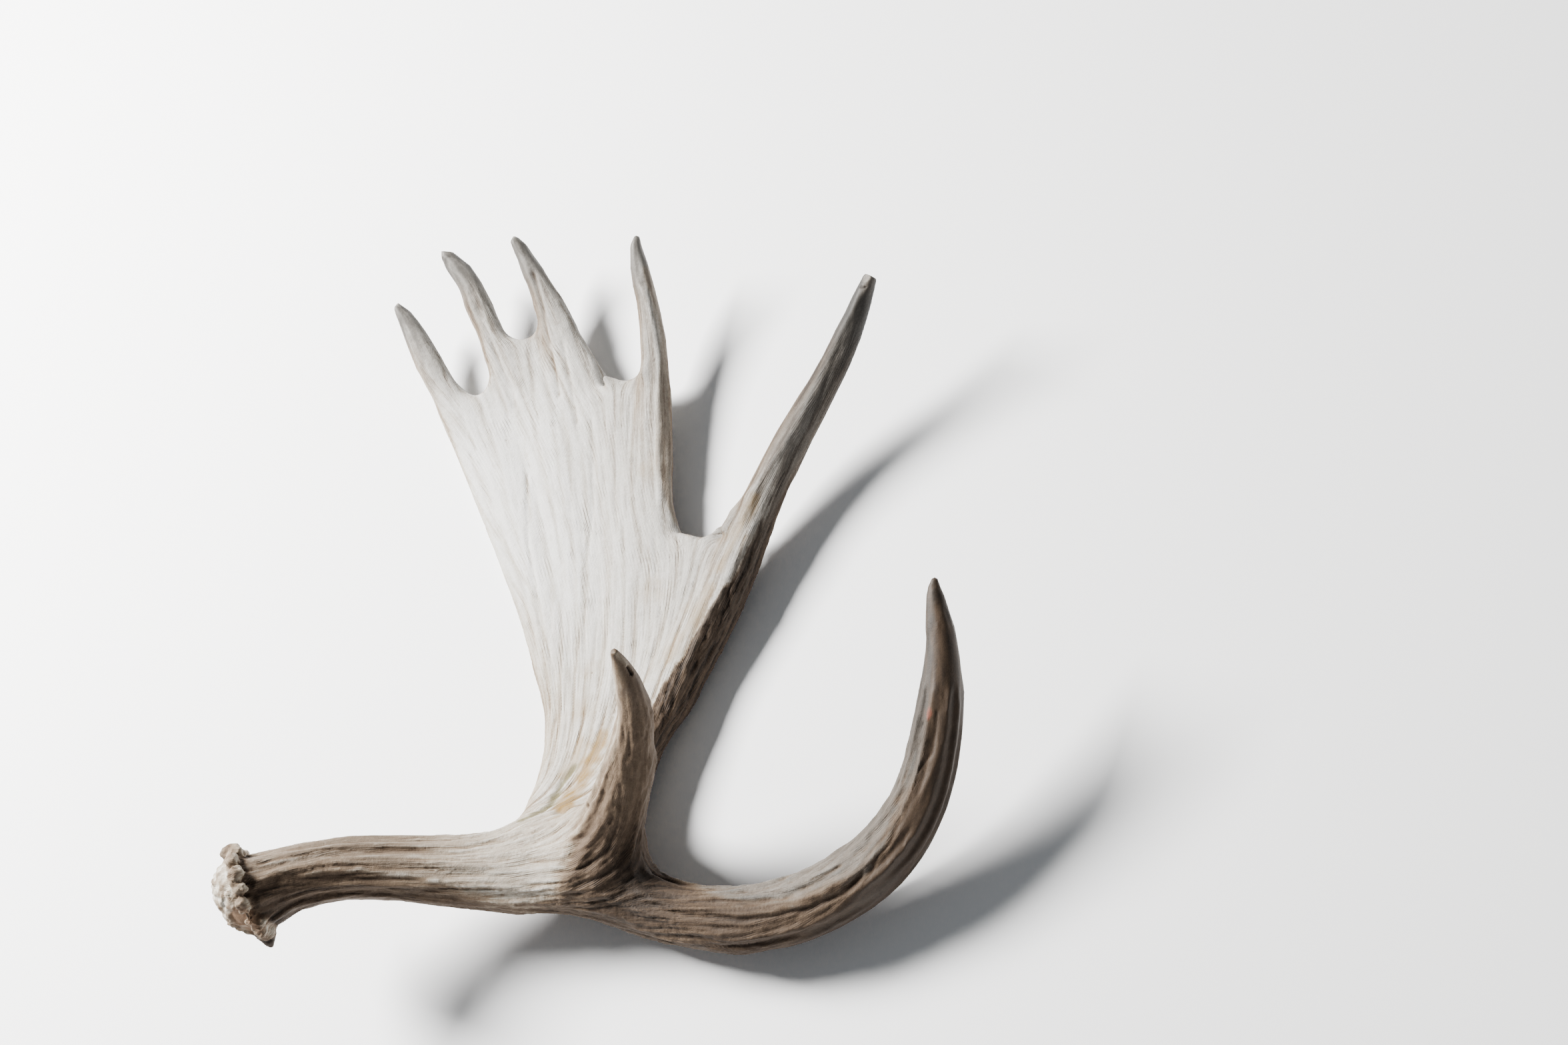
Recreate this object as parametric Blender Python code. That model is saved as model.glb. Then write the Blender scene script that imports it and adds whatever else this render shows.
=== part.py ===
"""Moose antler, shed and bleached: burr, beam, palm with four tines and a long edge tine, two brow tines.

The antler is shaped in an upright frame, in millimetres: x to the right, y away from the viewer, z up.
Each branch is an oval tube through a few stations. The tubes are joined into one skin, which is then drawn
onto the rounded union of all branches, thinned out and split at the forks. Last, the antler is laid on its
back, as it comes to rest on a flat surface, with its origin at the bottom centre of its box and the palm's
tines towards +Y, and written in metres.
"""

import math

import bmesh
import bpy
import numpy as np
from mathutils import Matrix, Vector

MM = 0.001
GAP = 0.5  # between the pieces that the antler is split into at its forks
SAMPLE = 2.5  # spacing of the points along a branch's centre line
VOXEL = 2.4  # of the skin before it is thinned out
TRIANGLES = 8950  # of the whole skin once it is thinned out

# Stations of the round branches, from root to tip: x, y, z, radius.
SHAFT = [  # the beam from the burr to the fork, then the long brow tine
    (-420, 8, 44, 30),
    (-411, 11, 48, 28.5),
    (-397, 14, 54, 26),
    (-378, 18, 59, 25),
    (-350, 22, 63, 25),
    (-318, 24, 63.5, 25.5),
    (-272, 23, 61, 27.5),
    (-227, 19, 60, 30.5),
    (-188, 14, 59, 33),
    (-149, 6, 54, 33),
    (-111, -8, 43, 29.5),
    (-73, -24, 33, 26.5),
    (-30, -40, 30, 26),
    (15, -55, 39, 25.6),
    (51, -68, 61, 24.5),
    (81, -80, 94, 22.5),
    (103, -90, 133, 20.5),
    (114, -98, 172, 18.8),
    (118, -104, 213, 15.2),
    (117, -108, 245, 10.8),
    (113, -111, 271, 5.3),
    (111, -112, 282, 1.6),
]
FRONT_TINE = [
    (-152, 0, 62, 30),
    (-143, -12, 84, 28),
    (-132, -28, 107, 24.5),
    (-123, -47, 132, 20.5),
    (-116, -68, 161, 17.2),
    (-112, -90, 187, 13),
    (-115, -108, 208, 8.2),
    (-121, -120, 223, 4.2),
    (-124, -126, 229, 2),
]

# Rays of the palm, from root to tine tip: x, z, half width, half thickness, curl.
# They lie in the dished sheet of the palm, and curl brings a tine that far forward of it.
PALM_RAYS = {
    "first": [
        (-190, 70, 17, 17, 0),
        (-188, 104, 16, 15, 0),
        (-184, 136, 18, 12, 0),
        (-189, 182, 19, 10, 0),
        (-200, 230, 19, 8, 0),
        (-215, 280, 21, 7, 0),
        (-237, 332, 22, 7, 0),
        (-260, 386, 24, 7, 0),
        (-287, 437, 21, 8, 0),
        (-313, 482, 17, 9, 2),
        (-336, 521, 13, 9, 8),
        (-355, 558, 9, 7.5, 18),
        (-366, 576, 6, 5.5, 26),
        (-371, 584, 2.5, 2.5, 30),
    ],
    "second": [
        (-174, 70, 20, 18, 0),
        (-170, 105, 19, 16, 0),
        (-166, 143, 20, 12, 0),
        (-171, 189, 22, 10, 0),
        (-183, 244, 24, 8, 0),
        (-198, 308, 26, 7, 0),
        (-217, 375, 27, 7, 0),
        (-239, 445, 25, 7, 0),
        (-259, 502, 19, 8.5, 0),
        (-278, 550, 14, 9.5, 4),
        (-296, 586, 12, 9, 12),
        (-312, 614, 10, 8, 22),
        (-322, 629, 7, 6, 28),
        (-326, 635, 4, 4, 30),
    ],
    "third": [
        (-158, 70, 21, 19, 0),
        (-153, 105, 22, 17, 0),
        (-152, 143, 21, 13, 0),
        (-153, 189, 24, 10, 0),
        (-156, 243, 28, 8, 0),
        (-162, 306, 33, 7, 0),
        (-171, 372, 35, 7, 0),
        (-183, 441, 33, 7.5, 0),
        (-197, 500, 27, 9, 0),
        (-211, 547, 19, 10.5, 3),
        (-228, 589, 13, 10, 10),
        (-243, 618, 8.5, 7.5, 22),
        (-251, 634, 5, 5, 30),
        (-255, 640, 2.5, 2.5, 32),
    ],
    "fourth": [
        (-148, 70, 21, 20, 0),
        (-147, 105, 22, 17, 0),
        (-140, 156, 23, 13, 0),
        (-132, 208, 26, 10, 0),
        (-124, 262, 28, 8, 0),
        (-118, 318, 27, 8, 0),
        (-117, 375, 23, 8.5, 0),
        (-116, 434, 18.5, 10, 0),
        (-116, 486, 15, 10.5, 2),
        (-119, 530, 12, 10, 8),
        (-125, 566, 9.5, 8.5, 18),
        (-131, 598, 7, 6.5, 30),
        (-134, 614, 4, 4, 36),
        (-135, 620, 2.2, 2.2, 38),
    ],
    "first_web": [
        (-180, 110, 8, 8, 0),
        (-176, 150, 8, 6, 0),
        (-184, 205, 9, 5, 0),
        (-203, 270, 10, 5, 0),
        (-229, 339, 13, 6, 0),
        (-249, 393, 16, 7, 0),
        (-268, 444, 16, 7, 0),
        (-288, 484, 20, 6.5, 0),
    ],
    "second_web": [
        (-162, 110, 8, 8, 0),
        (-158, 150, 8, 6, 0),
        (-163, 210, 10, 5, 0),
        (-174, 275, 12, 5, 0),
        (-186, 336, 14, 5, 0),
        (-201, 397, 17, 6, 0),
        (-218, 459, 19, 7, 0),
        (-236, 507, 18, 7, 0),
        (-247, 537, 24, 6.5, 0),
    ],
    "third_web": [
        (-150, 110, 8, 8, 0),
        (-146, 150, 8, 6, 0),
        (-142, 210, 10, 5, 0),
        (-139, 275, 13, 5, 0),
        (-141, 345, 17, 6, 0),
        (-143, 407, 20, 7, 0),
        (-145, 450, 21, 7, 0),
        (-149, 486, 28, 6.5, 0),
    ],
    "edge_web": [
        (-140, 100, 19, 17, 0),
        (-128, 140, 20, 13, 0),
        (-113, 180, 21, 10, 0),
        (-100, 225, 22, 8.5, 0),
        (-89, 264, 22, 8, 0),
        (-82, 300, 25, 7.5, 0),
        (-71, 331, 30, 7, 0),
    ],
    "edge": [
        (-154, 66, 24, 22, -2),
        (-149, 96, 25, 22, -4),
        (-129, 137, 25, 21, -8),
        (-107, 175, 23, 20, -10),
        (-89, 214, 21, 19, -11),
        (-69, 251, 20.5, 18.5, -11),
        (-51, 287, 20, 18, -11),
        (-36, 326, 19.5, 18, -10),
        (-18, 368, 17.5, 16.5, -8),
        (3, 413, 15.5, 14.5, -6),
        (27, 455, 13.5, 12.5, -4),
        (48, 491, 10.5, 10, 0),
        (62, 525, 8, 8, 6),
        (71, 548, 6, 6, 12),
    ],
}
PALM_ROOT = (-140, 30, 100)  # where the sheet of the palm starts
PALM_LEAN = 0.52  # how far the sheet goes back for each millimetre up
PALM_CURL = 0.0004  # and how it bends forward again towards its top
PALM_TURN = 0.50  # how far its left side lies back for each millimetre across
PALM_DISH = 0.0006  # and how its sides come forward of its middle
PALM_DRIFT = 0.12  # how far the middle moves left for each millimetre up

PALM_BLEND = 11  # roundness where two rays of the palm meet
FORK_BLEND = 52  # where the palm leaves the beam
TINE_BLEND = 26  # and where the front tine does

# The burr: a ring of pearls around the beam's foot, with the domed seat that was joined to the skull.
BURR = (-424, 8, 45)
BURR_AXIS = (0.925, 0.06, 0.375)  # from the seat towards the beam
RING_RADIUS = 34.5
PEARLS = 25
PEARL_RADII = (4, 5.6)
SEAT = [(-431, 8, 50, 23), (-421, 8, 40, 24)]  # the two balls of the seat's dome: x, y, z, radius
KNOB = (-443, 8, 76, 6)  # the big pearl on top: x, y, z, radius
SPUR = [  # the pointed pearl below: x, y, z, radius
    (-415, 10, 22, 11),
    (-411, 12, 13, 8),
    (-408, 13, 6, 4.5),
    (-407, 13, 3, 2.5),
]
BURR_BLEND = 4
SEED = 7

# Ridges that run along a round branch: two sets of waves around it, which sway as they go along.
RIDGES = 10
FINE_RIDGES = 14
FINE_SHARE = 0.6  # height of the fine ones for a main ridge of 1
RIDGE_HEIGHT = 1.0
RIDGE_FADE = 120  # length before the tip over which they fade away
SWAY_LENGTH = 55
SWAY_TURN = (1.5, -2)  # how far the main and the fine ones sway, in radians of a wave

PROBE = 0.2  # step for measuring how the distance to the antler changes
LARGEST_MOVE = 4  # of a point in one go while the skin is drawn onto the antler

# Wedges that part the branches at the forks: the box that holds the branch, and its root plane.
# The face of the box that looks along -axis is moved onto the plane.
WEDGES = {
    "long_palm_tine": dict(
        low=(-66, -60, 300), high=(160, 120, 760), axis=2, point=(-28, 75, 352), normal=(0.40, -0.12, 0.91)
    ),
    "palm": dict(
        low=(-520, 8, 60), high=(160, 400, 760), axis=2, point=(-150, 45, 124), normal=(0, 0.40, 0.92)
    ),
    "front_brow_tine": dict(
        low=(-210, -190, 60), high=(-62, 7, 300), axis=2, point=(-134, -26, 106), normal=(0.32, -0.56, 0.77)
    ),
    "long_brow_tine": dict(
        low=(-100, -200, -40), high=(200, 20, 330), axis=0, point=(-78, -22, 34), normal=(0.92, -0.36, -0.15)
    ),
}
BACK = (0, 0.9, -0.45)  # roughly the way down once the antler lies on its back

# Look of each piece as a plain material: colour, roughness.
LOOKS = {
    "beam": ((0.46, 0.40, 0.33), 0.75),
    "palm": ((0.66, 0.62, 0.55), 0.7),
    "long_palm_tine": ((0.50, 0.45, 0.38), 0.7),
    "front_brow_tine": ((0.40, 0.33, 0.26), 0.65),
    "long_brow_tine": ((0.38, 0.32, 0.26), 0.6),
}


def palm_depth(x, z):
    """Depth of the palm's middle sheet behind the point (x, z)."""
    up = z - PALM_ROOT[2]
    across = x - PALM_ROOT[0] + PALM_DRIFT * up
    lean = PALM_LEAN * up - PALM_CURL * up**2
    return PALM_ROOT[1] + lean - PALM_TURN * (x - PALM_ROOT[0]) - PALM_DISH * across**2


def unit(vectors):
    """The vectors, each at length 1."""
    return vectors / np.linalg.norm(vectors, axis=-1, keepdims=True)


def smooth_rows(stations):
    """Rows at even spacing along the smooth curve through the stations."""
    rows = np.array(stations, dtype=float)
    along = np.concatenate([[0], np.cumsum(np.linalg.norm(np.diff(rows[:, :3], axis=0), axis=1))])
    slope = np.gradient(rows, along, axis=0)
    places = np.linspace(0, along[-1], int(along[-1] / SAMPLE) + 1)
    span = np.clip(np.searchsorted(along, places, side="right") - 1, 0, len(rows) - 2)
    length = (along[span + 1] - along[span])[:, None]
    t = (places - along[span])[:, None] / length
    start, end = rows[span], rows[span + 1]
    rise_start, rise_end = slope[span] * length, slope[span + 1] * length
    return (
        (2 * t**3 - 3 * t**2 + 1) * start
        + (t**3 - 2 * t**2 + t) * rise_start
        + (3 * t**2 - 2 * t**3) * end
        + (t**3 - t**2) * rise_end
    )


class Branch:
    """An oval tube along a smooth centre line, with a wide side and a face, and ridges along it."""

    def __init__(self, stations, facing=(0, -1, 0), ridge_height=0.0):
        rows = smooth_rows(stations)
        self.centre = rows[:, :3]
        self.half_width = rows[:, 3]
        self.half_depth = rows[:, 4]
        self.along = unit(np.gradient(self.centre, axis=0))
        facing = np.broadcast_to(facing, self.centre.shape)
        self.face = unit(facing - (facing * self.along).sum(1, keepdims=True) * self.along)
        self.side = np.cross(self.along, self.face)
        self.taper = np.gradient(self.half_width, axis=0) / SAMPLE
        self.length = SAMPLE * np.arange(len(rows))
        self.ridge = ridge_height * np.clip((self.length[-1] - self.length) / RIDGE_FADE, 0, 1)

    def nearest(self, points):
        """For each point, the index of the nearest point of the centre line."""
        reach = (self.centre**2).sum(1) - 2 * points @ self.centre.T
        return reach.argmin(1)

    def distance(self, points, index):
        """Signed distance of the points to the tube's wall, near enough for drawing a skin onto it."""
        offset = points - self.centre[index]
        ahead = (offset * self.along[index]).sum(1)
        past_tip = np.where(index == len(self.centre) - 1, np.maximum(ahead, 0), 0)
        past_root = np.where(index == 0, np.minimum(ahead, 0), 0)
        past = past_tip + past_root
        growth = np.clip(self.taper[index] * (ahead - past), -1, 1)
        width = np.maximum(self.half_width[index] + growth, 0.5)
        depth = np.maximum(self.half_depth[index] + growth, 0.5)
        across = (offset * self.side[index]).sum(1)
        out = (offset * self.face[index]).sum(1)
        small = np.minimum(width, depth)
        ratio = np.sqrt((across / width) ** 2 + (out / depth) ** 2 + (past / small) ** 2)
        steep = np.sqrt((across / width**2) ** 2 + (out / depth**2) ** 2 + (past / small**2) ** 2)
        wall = np.where(ratio > 0.01, ratio * (ratio - 1) / np.maximum(steep, 1e-6), -small)
        turn = np.arctan2(out, across)
        sway = np.sin(self.length[index] / SWAY_LENGTH)
        main = np.cos(RIDGES * turn + SWAY_TURN[0] * sway)
        fine = np.cos(FINE_RIDGES * turn + SWAY_TURN[1] * sway)
        return wall - self.ridge[index] * (main + FINE_SHARE * fine)

    def add_tube(self, bm, sides=20):
        """Adds the closed tube to a bmesh."""
        last = len(self.centre) - 1
        spots = [(i, 0.0, 1.0) for i in (*range(0, last, 2), last)]
        spots += [(last, out, math.sqrt(1 - out**2)) for out in (0.5, 0.85)]
        rings = []
        for i, out, size in spots:
            width, depth = self.half_width[i], self.half_depth[i]
            frame = Matrix((self.side[i], self.face[i], self.along[i])).transposed().to_4x4()
            frame.translation = Vector(self.centre[i] + out * min(width, depth) * self.along[i])
            scale = Matrix.Diagonal((width * size, depth * size, 1, 1))
            ring = bmesh.ops.create_circle(bm, segments=sides, radius=1, matrix=frame @ scale)
            rings.append(ring["verts"])
        for low, high in zip(rings, rings[1:]):
            for i in range(sides):
                j = (i + 1) % sides
                bm.faces.new((low[i], low[j], high[j], high[i]))
        bm.faces.new(list(reversed(rings[0])))
        bm.faces.new(rings[-1])


def blend(first, second, roundness):
    """Joins two distance fields with a fillet between them."""
    overlap = np.maximum(roundness - np.abs(first - second), 0) / roundness
    return np.minimum(first, second) - overlap**2 * roundness / 4


def round_branch(stations, ridge_height=0.0):
    """A branch with a round section."""
    return Branch([(x, y, z, r, r) for x, y, z, r in stations], ridge_height=ridge_height)


def palm_branch(stations):
    """A branch that lies in the palm's sheet, facing the way the sheet faces."""
    rows = [(x, palm_depth(x, z) - curl, z, width, depth) for x, z, width, depth, curl in stations]
    points = smooth_rows(rows)
    x, z = points[:, 0], points[:, 2]
    lean_x = palm_depth(x + 0.5, z) - palm_depth(x - 0.5, z)
    lean_z = palm_depth(x, z + 0.5) - palm_depth(x, z - 0.5)
    return Branch(rows, np.stack([lean_x, -np.ones_like(x), lean_z], axis=1))


def burr_balls():
    """Centres and radii of the balls that make the burr: the seat's dome, the ring of pearls and the knob."""
    rng = np.random.default_rng(SEED)
    axis = unit(np.array(BURR_AXIS))
    across = unit(np.cross(axis, (0, 1, 0)))
    around = np.cross(axis, across)
    balls = [*SEAT, KNOB]
    for i in range(PEARLS):
        turn = 2 * math.pi * (i + rng.uniform(-0.25, 0.25)) / PEARLS
        radius = rng.uniform(*PEARL_RADII)
        reach = RING_RADIUS + rng.uniform(-1, 2)
        shift = rng.uniform(-2, 2)
        place = BURR + reach * (math.cos(turn) * across + math.sin(turn) * around) + shift * axis
        balls.append((*place, radius))
    return np.array(balls)


shaft = round_branch(SHAFT, ridge_height=RIDGE_HEIGHT)
front_tine = round_branch(FRONT_TINE, ridge_height=RIDGE_HEIGHT)
spur = round_branch(SPUR)
rays = [palm_branch(stations) for stations in PALM_RAYS.values()]
branches = [shaft, front_tine, spur, *rays]
balls = burr_balls()


def antler_distance(points, index):
    """Signed distance to the whole antler."""
    near = [branch.distance(points, i) for branch, i in zip(branches, index)]
    palm = near[3]
    for ray in near[4:]:
        palm = blend(palm, ray, PALM_BLEND)
    antler = blend(blend(near[0], palm, FORK_BLEND), near[1], TINE_BLEND)
    antler = blend(antler, near[2], BURR_BLEND)
    for ball in balls:
        antler = blend(antler, np.linalg.norm(points - ball[:3], axis=1) - ball[3], BURR_BLEND)
    return antler


def draw_onto(points, steps=4):
    """Draws the points onto the antler's surface."""
    for _ in range(steps):
        index = [branch.nearest(points) for branch in branches]
        here = antler_distance(points, index)
        gradient = np.stack([
            (antler_distance(points + step, index) - here) / PROBE for step in PROBE * np.eye(3)
        ], axis=1)
        size = np.maximum((gradient**2).sum(1, keepdims=True), 0.1)
        move = here[:, None] * gradient / size
        length = np.linalg.norm(move, axis=1, keepdims=True)
        points = points - move * np.minimum(1, LARGEST_MOVE / np.maximum(length, 1e-9))
    return points


def read_points(mesh):
    """The mesh's vertices as an array."""
    flat = np.empty(len(mesh.vertices) * 3)
    mesh.vertices.foreach_get("co", flat)
    return flat.reshape(-1, 3)


def write_points(mesh, points):
    """Moves the mesh's vertices."""
    mesh.vertices.foreach_set("co", points.ravel())
    mesh.update()


def apply_modifiers(thing):
    """Replaces the object's mesh by its evaluated one."""
    bpy.context.view_layer.update()
    graph = bpy.context.evaluated_depsgraph_get()
    mesh = bpy.data.meshes.new_from_object(thing.evaluated_get(graph), depsgraph=graph)
    thing.modifiers.clear()
    thing.data = mesh


def add_object(name, bm):
    """A new object that takes the bmesh as its mesh."""
    mesh = bpy.data.meshes.new(name)
    bm.to_mesh(mesh)
    bm.free()
    thing = bpy.data.objects.new(name, mesh)
    bpy.context.scene.collection.objects.link(thing)
    return thing


def drop_hollows(thing):
    """Keeps the mesh's largest shell and drops the walls of pockets shut inside it."""
    bm = bmesh.new()
    bm.from_mesh(thing.data)
    left = set(bm.verts)
    shells = []
    while left:
        shell, edge = set(), {left.pop()}
        while edge:
            shell |= edge
            edge = {e.other_vert(v) for v in edge for e in v.link_edges} - shell
        left -= shell
        shells.append(shell)
    shells.sort(key=len)
    bmesh.ops.delete(bm, geom=[vert for shell in shells[:-1] for vert in shell], context="VERTS")
    bm.to_mesh(thing.data)
    bm.free()


def make_skin():
    """The whole antler as one closed skin."""
    bm = bmesh.new()
    for branch in branches:
        branch.add_tube(bm)
    for x, y, z, radius in balls:
        bmesh.ops.create_icosphere(bm, subdivisions=3, radius=radius, matrix=Matrix.Translation((x, y, z)))
    bmesh.ops.recalc_face_normals(bm, faces=bm.faces)
    skin = add_object("skin", bm)
    remesh = skin.modifiers.new("remesh", "REMESH")
    remesh.mode = "VOXEL"
    remesh.voxel_size = VOXEL
    apply_modifiers(skin)
    drop_hollows(skin)
    write_points(skin.data, draw_onto(read_points(skin.data)))
    thin = skin.modifiers.new("thin", "DECIMATE")
    thin.ratio = TRIANGLES / (2 * len(skin.data.polygons))
    apply_modifiers(skin)
    return skin


def wedge(name, low, high, axis, point, normal, shift):
    """A box whose near face along the axis lies on the root plane, moved along its normal by the shift."""
    bm = bmesh.new()
    bmesh.ops.create_cube(bm, size=2)
    middle = [(l + h) / 2 for l, h in zip(low, high)]
    half = [(h - l) / 2 for l, h in zip(low, high)]
    bmesh.ops.scale(bm, verts=bm.verts, vec=half)
    bmesh.ops.translate(bm, verts=bm.verts, vec=middle)
    normal = Vector(normal).normalized()
    plane = Vector(point) + shift * normal
    for vert in bm.verts:
        if vert.co[axis] < middle[axis]:
            vert.co[axis] += normal.dot(plane - vert.co) / normal[axis]
    cutter = add_object(name, bm)
    cutter.hide_render = True
    cutter.display_type = "WIRE"
    return cutter


def cut(thing, cutter, operation):
    """Cuts the object with the cutter, which is used up."""
    boolean = thing.modifiers.new(cutter.name, "BOOLEAN")
    boolean.operation = operation
    boolean.object = cutter
    boolean.solver = "EXACT"
    apply_modifiers(thing)
    bpy.data.objects.remove(cutter)


def split(skin):
    """Parts the antler at its forks. What the wedges leave is the beam."""
    pieces = [skin]
    for name, shape in WEDGES.items():
        piece = skin.copy()
        bpy.context.scene.collection.objects.link(piece)
        piece.name = name
        cut(piece, wedge("inside", shift=GAP / 2, **shape), "INTERSECT")
        cut(skin, wedge("outside", shift=-GAP / 2, **shape), "DIFFERENCE")
        pieces.append(piece)
    skin.name = "beam"
    return pieces


def mass_centre(pieces):
    """Centre of mass of the closed pieces."""
    total, moment = 0.0, Vector((0, 0, 0))
    for piece in pieces:
        piece.data.calc_loop_triangles()
        for triangle in piece.data.loop_triangles:
            a, b, c = (piece.data.vertices[i].co for i in triangle.vertices)
            volume = a.dot(b.cross(c)) / 6
            total += volume
            moment += volume * (a + b + c) / 4
    return moment / total


def lies_over(face, foot):
    """Whether a point of the face's plane is within the triangle."""
    corners = [vert.co for vert in face.verts]
    turns = [
        (second - first).cross(foot - first).dot(face.normal)
        for first, second in zip(corners, corners[1:] + corners[:1])
    ]
    return min(turns) >= 0 or max(turns) <= 0


def resting_direction(pieces):
    """Outward normal of the side of the hull that the antler rests on when it lies on its back."""
    centre = mass_centre(pieces)
    bm = bmesh.new()
    for piece in pieces:
        for vert in piece.data.vertices:
            bm.verts.new(vert.co)
    bmesh.ops.convex_hull(bm, input=bm.verts)
    sides = []
    for face in bm.faces:
        reach = face.normal.dot(face.verts[0].co - centre)
        foot = centre + reach * face.normal
        if lies_over(face, foot):
            sides.append(face.normal * math.copysign(1, reach))
    bm.free()
    return max(sides, key=lambda normal: normal.dot(BACK))


def lay_down(pieces):
    """The turn and move that lay the antler on its back, tines towards +Y, and bring it to metres."""
    down = resting_direction(pieces)
    turn = down.rotation_difference(Vector((0, 0, -1))).to_matrix().to_4x4()
    up = turn @ Vector((0, 0, 1))
    spin = Matrix.Rotation(math.atan2(up.x, up.y), 4, "Z")
    turn = spin @ turn
    corners = np.concatenate([read_points(piece.data) for piece in pieces])
    turned = corners @ np.array(turn.to_3x3()).T
    low, high = turned.min(axis=0), turned.max(axis=0)
    bottom = Vector(((low[0] + high[0]) / 2, (low[1] + high[1]) / 2, low[2]))
    return Matrix.Scale(MM, 4) @ Matrix.Translation(-bottom) @ turn


def paint(piece):
    """Gives the piece its plain material."""
    colour, roughness = LOOKS[piece.name]
    material = bpy.data.materials.new(piece.name)
    material.use_nodes = True
    surface = material.node_tree.nodes["Principled BSDF"]
    surface.inputs["Base Color"].default_value = (*colour, 1)
    surface.inputs["Roughness"].default_value = roughness
    surface.inputs["Metallic"].default_value = 0.0
    piece.data.materials.clear()
    piece.data.materials.append(material)


for thing in list(bpy.data.objects):
    bpy.data.objects.remove(thing)
pieces = split(make_skin())
lay = lay_down(pieces)
for piece in pieces:
    piece.data.transform(lay)
    piece.data.shade_smooth()
    piece.data.set_sharp_from_angle(angle=math.radians(50))
    paint(piece)
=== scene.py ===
"""Dresses the moose antler: one weathered skin over the five CAD pieces, split again at the same forks.

The skin is worked in the upright frame that part.py shapes the antler in, in millimetres: x right, y away,
z up. A growth field runs from the burr to every tip. Ridges, grooves and stains follow it. Marks that sit
at one spot are placed by where they show in the picture, in its pixels.
"""

import math

import bmesh
import bpy
import numpy as np
from mathutils import Matrix, Vector, kdtree
from mathutils.bvhtree import BVHTree


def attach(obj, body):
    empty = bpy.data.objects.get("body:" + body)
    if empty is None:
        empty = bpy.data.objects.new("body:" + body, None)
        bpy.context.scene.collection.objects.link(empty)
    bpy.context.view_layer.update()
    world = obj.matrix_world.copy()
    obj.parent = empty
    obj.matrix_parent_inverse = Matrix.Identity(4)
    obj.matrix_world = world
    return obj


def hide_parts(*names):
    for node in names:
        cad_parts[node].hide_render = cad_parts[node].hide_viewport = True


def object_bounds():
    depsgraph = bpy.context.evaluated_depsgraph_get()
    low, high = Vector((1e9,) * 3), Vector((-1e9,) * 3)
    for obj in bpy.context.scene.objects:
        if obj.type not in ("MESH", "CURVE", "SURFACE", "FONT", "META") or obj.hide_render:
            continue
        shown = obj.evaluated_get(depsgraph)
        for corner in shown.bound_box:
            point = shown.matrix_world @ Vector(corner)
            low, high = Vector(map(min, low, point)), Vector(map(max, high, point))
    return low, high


MM = 0.001
SEED = 11

# How part.py lays the upright antler down, and where its upright origin comes to be.
LAY_TURN = math.radians(20.8187)
LAY_LEAN = math.radians(-72.0899)
LAY_PLACE = (0.13872, -0.302646, -0.016936)

# The camera, in the upright frame, and the picture that it takes.
PICTURE = (2352, 1568)
FOCUS = 2800  # focal length in picture pixels
EYE = (0, -1500, 148)
EYE_PITCH = math.atan2(359, 2800)
SENSOR = 36

# The skin, in millimetres.
VOXEL = 1.25
COARSE_VOXEL = 5.0
SWELL = 0.45  # closes the gaps between the CAD pieces before they are joined
STRIDE = 1.25  # of a walk along the growth lines
RELAX = 26  # rounds that even out the fine skin
COARSE_RELAX = 4  # and the coarse one
WEB_SOFTEN = 40  # rounds that round the webs off
BLEND_SOFTEN = 60  # and that blend added beads into the skin around them
GRAIN = ((22, 64), (5, 40), (8, 8), (0, 20))  # broad, ridged, lumpy, fine: rounds to smooth, steps to reach
MOST_FACES = 195000  # triangles of one piece
INSIDE = 0.00005  # how far the skin keeps inside the CAD's box, in metres

TIPS = {  # where the tips show in the picture
    "first": (597, 459),
    "second": (668, 378),
    "third": (773, 357),
    "fourth": (954, 355),
    "edge": (1303, 412),
    "front": (923, 974),
    "brow": (1400, 868),
}

# The forks, where the skin is split as the CAD is: a point and normal of the parting plane, and a box.
FORKS = {
    "long_palm_tine": dict(
        low=(-66, -60, 300), high=(160, 120, 760), point=(-28, 75, 352), normal=(0.40, -0.12, 0.91)),
    "palm": dict(
        low=(-520, 8, 60), high=(160, 400, 760), point=(-150, 45, 124), normal=(0, 0.40, 0.92)),
    "front_brow_tine": dict(
        low=(-210, -190, 60), high=(-62, 7, 300), point=(-134, -26, 106), normal=(0.32, -0.56, 0.77)),
    "long_brow_tine": dict(
        low=(-100, -200, -40), high=(200, 20, 330), point=(-78, -22, 34), normal=(0.92, -0.36, -0.15)),
}
SLOTS = {
    "beam": "beam",
    "palm": "palm",
    "long_palm_tine": "palm_tine",
    "front_brow_tine": "front_tine",
    "long_brow_tine": "brow_tine",
}

PALM_FACING = Vector((0.30, -0.88, 0.36)).normalized()  # the way the palm's front faces

# The burr, as in part.py: a ring of pearls around an axis that points from the seat into the beam.
BURR = (-424, 8, 45)
BURR_AXIS = (0.925, 0.06, 0.375)
RING_RADIUS = 34.5
PEARLS = 25
PEARL_RADII = (4, 5.6)
PEARL_SEED = 7

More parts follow.
